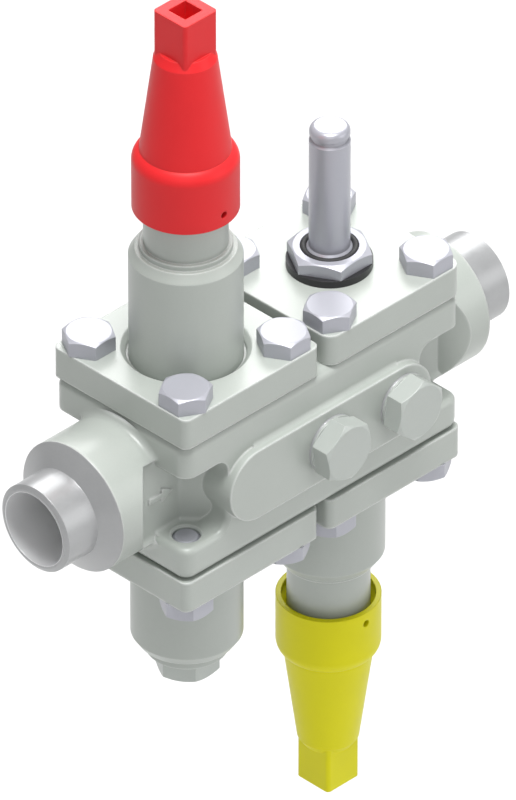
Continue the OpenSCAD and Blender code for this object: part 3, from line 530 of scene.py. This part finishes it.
def coil_spring(name, wire_radius, turns):
    low, high = (Vector(corner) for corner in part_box(name))
    axis = (low + high) / 2
    length = high.z - low.z
    steps = STEPS_PER_TURN * turns
    climb = (length - 2 * wire_radius) / steps
    start = Vector((high.x - wire_radius, axis.y, low.z + wire_radius))
    upright = Matrix.Translation(start) @ Matrix.Rotation(math.radians(90), 4, "X")
    coil = bmesh.new()
    bmesh.ops.create_circle(coil, segments=WIRE_SIDES, radius=wire_radius, matrix=upright)
    bmesh.ops.spin(coil, geom=coil.verts[:] + coil.edges[:], cent=axis, axis=(0, 0, 1),
                   dvec=(0, 0, climb), angle=math.tau * turns, steps=steps)
    bmesh.ops.holes_fill(coil, edges=[edge for edge in coil.edges if edge.is_boundary])
    bmesh.ops.recalc_face_normals(coil, faces=coil.faces)
    for face in coil.faces:
        face.smooth = len(face.verts) == 4
    mesh = bpy.data.meshes.new(name + "_coil")
    coil.to_mesh(mesh)
    coil.free()
    mesh.materials.append(stainless)
    piece = bpy.data.objects.new(name + "_coil", mesh)
    bpy.context.collection.objects.link(piece)
    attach(piece, "station")
    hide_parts(name)
    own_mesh(piece)


coil_spring("piston_spring", 0.8 * MM, 4)
coil_spring("armature_spring", 0.5 * MM, 9)

# %% [markdown]
# The thick washer under the tube's nut is nearly black. Blackened steel keeps a little metallic
# shine on a dark ground, so a low base colour does more than a high metal value would.

# %% Black washer
blackened = finish("blackened_steel", (0.025, 0.025, 0.027), 0.38, metallic=0.2,
                   wear_and_highlight=(0.12, 0.12, 0.125), wear_and_highlight_strength=0.4, edge=0.2, cloud=160,
                   colour_change=0.1, rough_change=0.15, bump=0.06, turned=right_column,
                   turned_bump=0.2)
dress(blackened, "tube_washer")
print("dressed the black washer")

# %% [markdown]
# The two caps are moulded plastic in signal colours. Plastic has no metal in it: its colour comes
# from inside, and a thin even gloss lies over it. Handling leaves its edges a little lighter.

# %% Caps
for label, colour, wear_and_highlight in (("red", (0.68, 0.02, 0.024), (0.74, 0.12, 0.11)),
                            ("yellow", (0.66, 0.62, 0.0), (0.8, 0.76, 0.03))):
    plastic = finish("cap_" + label, colour, 0.42, wear_and_highlight=wear_and_highlight, wear_and_highlight_strength=0.5, cloud=70,
                     fine=2200, colour_change=0.05, rough_change=0.16, bump=0.12, specular=0.22)
    dress(plastic, label + "_cap")
print("dressed the caps")

# %% [markdown]
# The ring on top of the tube's nut is rubber, matt and nearly black. The gaskets and packings are
# rubber too, but they are hidden while the station is closed, as are the white sealing plastic and
# the brass piston. They show once a cap or a module is off, so they get real finishes as well.

# %% Seals and brass
rubber = finish("rubber", (0.02, 0.02, 0.021), 0.62, cloud=200, fine=2600, colour_change=0.2,
                rough_change=0.2, bump=0.3, edge=0.2)
seal_white = finish("seal_white", (0.82, 0.82, 0.78), 0.4, cloud=150, colour_change=0.04,
                    bump=0.08, edge=0.2)
brass = finish("brass", (0.60, 0.44, 0.17), 0.3, metallic=0.8, wear_and_highlight=(0.8, 0.66, 0.35),
               wear_and_highlight_strength=0.6, edge=0.3, cloud=100, colour_change=0.08, bump=0.08,
               turned=right_column, turned_bump=0.12)
dress(rubber, "stop_gasket", "filter_gasket", "solenoid_gasket", "regulator_gasket",
      "red_cap_gasket", "yellow_cap_gasket", "coil_seal", "stop_packing", "regulator_packing")
dress(seal_white, "stop_cone_seal", "regulator_cone_seal", "piston_ring")
dress(brass, "servo_piston")
print("dressed the seals and the piston")

# %% [markdown]
# The studio is plain. A pale floor lies well below the part, because in use a pipe holds it up in
# the air. A dim even surround reaches into the hollows, where no lamp would.

# %% Floor and surround
FLOOR_DROP = 0.12
FLOOR_REACH = 30
FLOOR_COLOUR = (0.7, 0.7, 0.7)
FLOOR_ROUGH = 0.9
SURROUND_STRENGTH = 0.4

floor_mesh = bpy.data.meshes.new("floor")
sheet = bmesh.new()
bmesh.ops.create_grid(sheet, x_segments=1, y_segments=1, size=FLOOR_REACH)
bmesh.ops.translate(sheet, vec=(centre.x, 0, station_low.z - FLOOR_DROP), verts=sheet.verts)
sheet.to_mesh(floor_mesh)
sheet.free()
floor = bpy.data.objects.new("floor", floor_mesh)
bpy.context.collection.objects.link(floor)
pale = bpy.data.materials.new("pale_floor")
pale.use_nodes = True
pale_shader = pale.node_tree.nodes["Principled BSDF"]
pale_shader.inputs["Base Color"].default_value = (*FLOOR_COLOUR, 1)
pale_shader.inputs["Roughness"].default_value = FLOOR_ROUGH
floor_mesh.materials.append(pale)

world = bpy.data.worlds.new("surround")
world.use_nodes = True
background = world.node_tree.nodes["Background"]
background.inputs["Color"].default_value = (1, 1, 1, 1)
background.inputs["Strength"].default_value = SURROUND_STRENGTH
bpy.context.scene.world = world
bpy.context.scene.view_settings.view_transform = "Standard"
print("floor at z =", round(station_low.z - FLOOR_DROP, 3))

# %% [markdown]
# Four large soft lamps light the station, each one round and turned to its centre. The one above
# is the main light. The one behind puts a sheen on the faces that look up, the fill stands near
# the camera, and the front one lifts the side with the two plugs. The left end stays a little
# darker.

# %% Lamps


def lamp(name, direction, away, size, power):
    data = bpy.data.lights.new(name, "AREA")
    data.shape = "DISK"
    data.size = size
    data.energy = power
    piece = bpy.data.objects.new(name, data)
    bpy.context.collection.objects.link(piece)
    aim = Vector(direction).normalized()
    piece.location = centre + aim * away
    piece.rotation_euler = (-aim).to_track_quat("-Z", "Y").to_euler()
    print("lamp", name, "of", power, "W,", away, "m away")


lamp("above", (-0.1, -0.2, 1.68), 1.7, 0.8, 34)
lamp("back", (1.1, 0.8, 0.97), 2.2, 1.6, 30)
lamp("fill", (-1, -1, 0.9), 2.2, 1.8, 7)
lamp("front", (0.8, -1.5, 0.5), 1.8, 1.2, 6)
